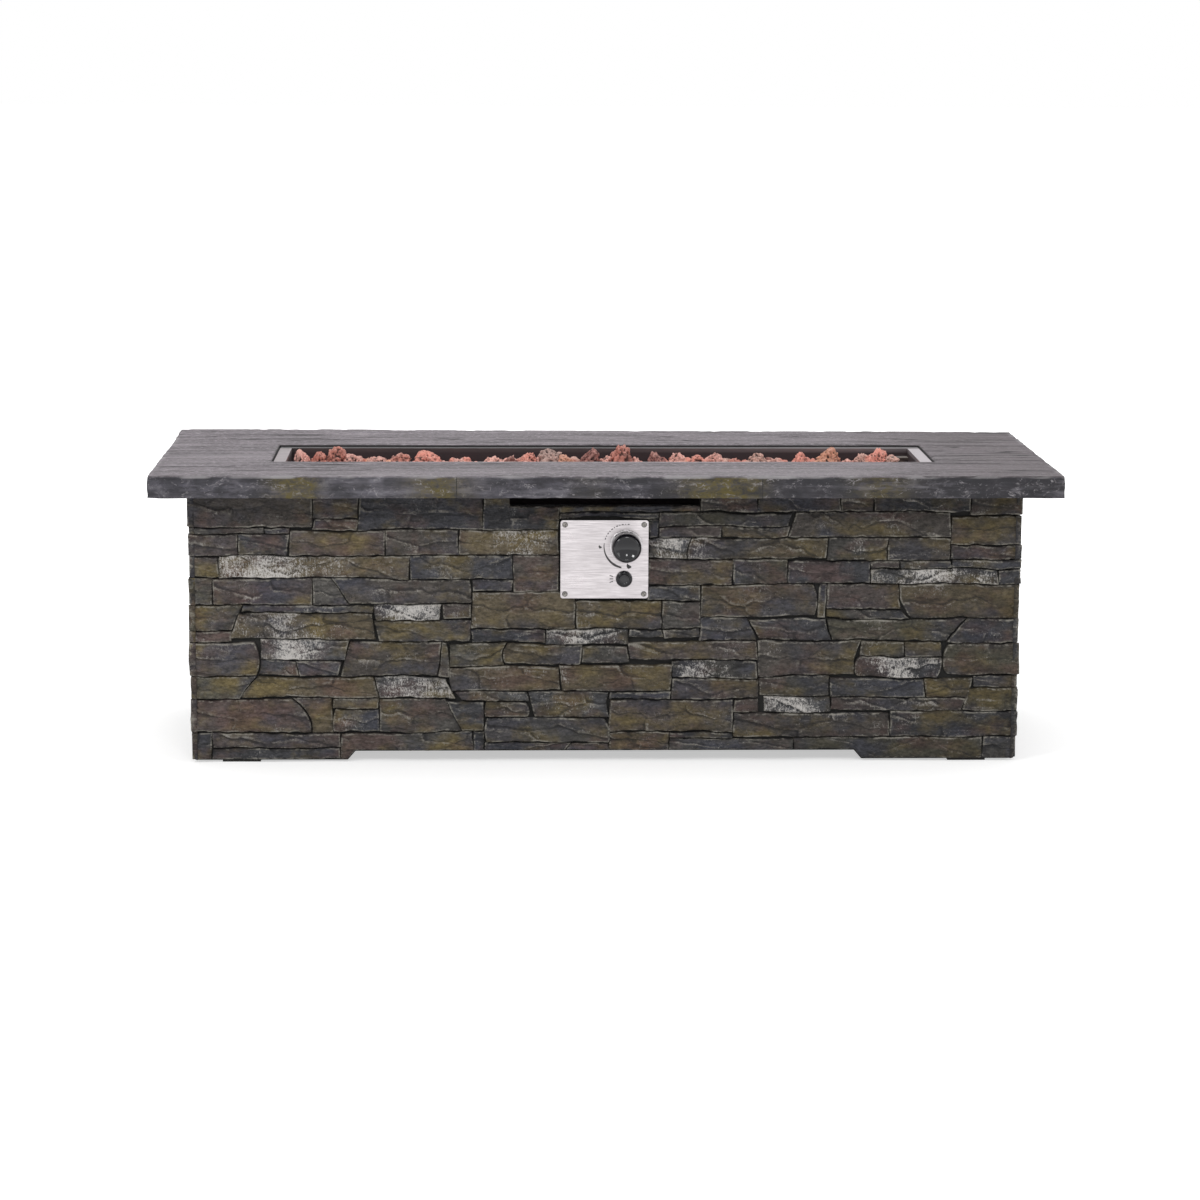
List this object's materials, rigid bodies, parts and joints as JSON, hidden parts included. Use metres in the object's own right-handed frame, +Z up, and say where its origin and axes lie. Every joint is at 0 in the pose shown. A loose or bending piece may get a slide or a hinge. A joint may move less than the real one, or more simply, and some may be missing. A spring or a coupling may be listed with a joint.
{
  "type": "fire pit table",
  "caption": "Low rectangular gas fire pit table: slate-look slab on a stacked-stone casing, a pan of lava rock in the slab, and a front panel with a turning knob and a push-button igniter.",
  "frame": {"origin": "on the floor under the middle of the table", "axes": "+X along the table's length, to the right seen from the front; +Y to the rear; +Z up; the control panel faces -Y"},
  "size_m": [1.422, 0.572, 0.479],
  "materials": {
    "cast_stone": "cast stacked stone in grey, brown, ochre and slate blue, matt and rough",
    "cast_slate": "cast slate, cleft surface, matt",
    "lava": "porous red-brown lava rock",
    "pad_rubber": "matt black",
    "hose_rubber": "matt black",
    "lead_rubber": "red silicone, satin",
    "stainless": "brushed along the length",
    "zinc_steel": "zinc plated, satin",
    "aluminium": "die cast, satin",
    "brass": "machined",
    "copper": "drawn copper",
    "black_gloss": "gloss black",
    "black_matt": "satin black",
    "ceramic": "white glazed ceramic",
    "battery_case": "painted, plain"
  },
  "bodies": {
    "casing": {"base_shell": "cast_stone", "table_top": "cast_slate", "foot_pads": "pad_rubber", "top_brackets": "zinc_steel", "bracket_bolts": "zinc_steel", "burner_pan": "stainless", "burner_tube": "stainless", "burner_nut": "brass", "air_mixer": "aluminium", "gas_orifice": "brass", "pilot_hood": "stainless", "spark_electrode": "ceramic", "thermocouple": "copper", "lava_bed": "lava", "lava_rocks": "lava", "control_panel": "stainless", "panel_screws": "zinc_steel", "knob_bezel": "black_matt", "valve_bracket": "zinc_steel", "valve_body": "aluminium", "valve_spring": "zinc_steel", "igniter_body": "black_matt", "igniter_nut": "black_matt", "igniter_collar": "black_gloss", "igniter_spring": "zinc_steel", "igniter_battery": "battery_case", "gas_inlet": "brass", "inlet_locknut": "brass", "inlet_hose": "hose_rubber", "burner_hose": "hose_rubber", "ignition_wire": "lead_rubber", "thermocouple_lead": "copper", "lead_clips": "black_matt", "heat_shield": "zinc_steel"},
    "plunger": {"valve_plunger": "brass"},
    "knob": {"control_knob": "black_gloss", "valve_stem": "brass"},
    "button": {"igniter_button": "black_gloss"}
  },
  "joints": [
    {"name": "valve_push", "type": "slide", "parent": "casing", "child": "plunger", "axis": [0, 1, 0], "range_m": [0, 0.003], "stiffness_N_per_m": 1500, "springref_m": -0.004, "deforming": ["valve_spring"]},
    {"name": "knob_turn", "type": "hinge", "parent": "plunger", "child": "knob", "pos_m": [0.031, -0.25, 0.347], "axis": [0, -1, 0], "range_deg": [0, 180]},
    {"name": "igniter_press", "type": "slide", "parent": "casing", "child": "button", "axis": [0, 1, 0], "range_m": [0, 0.004], "stiffness_N_per_m": 1200, "springref_m": -0.004, "deforming": ["igniter_spring"]}
  ]
}
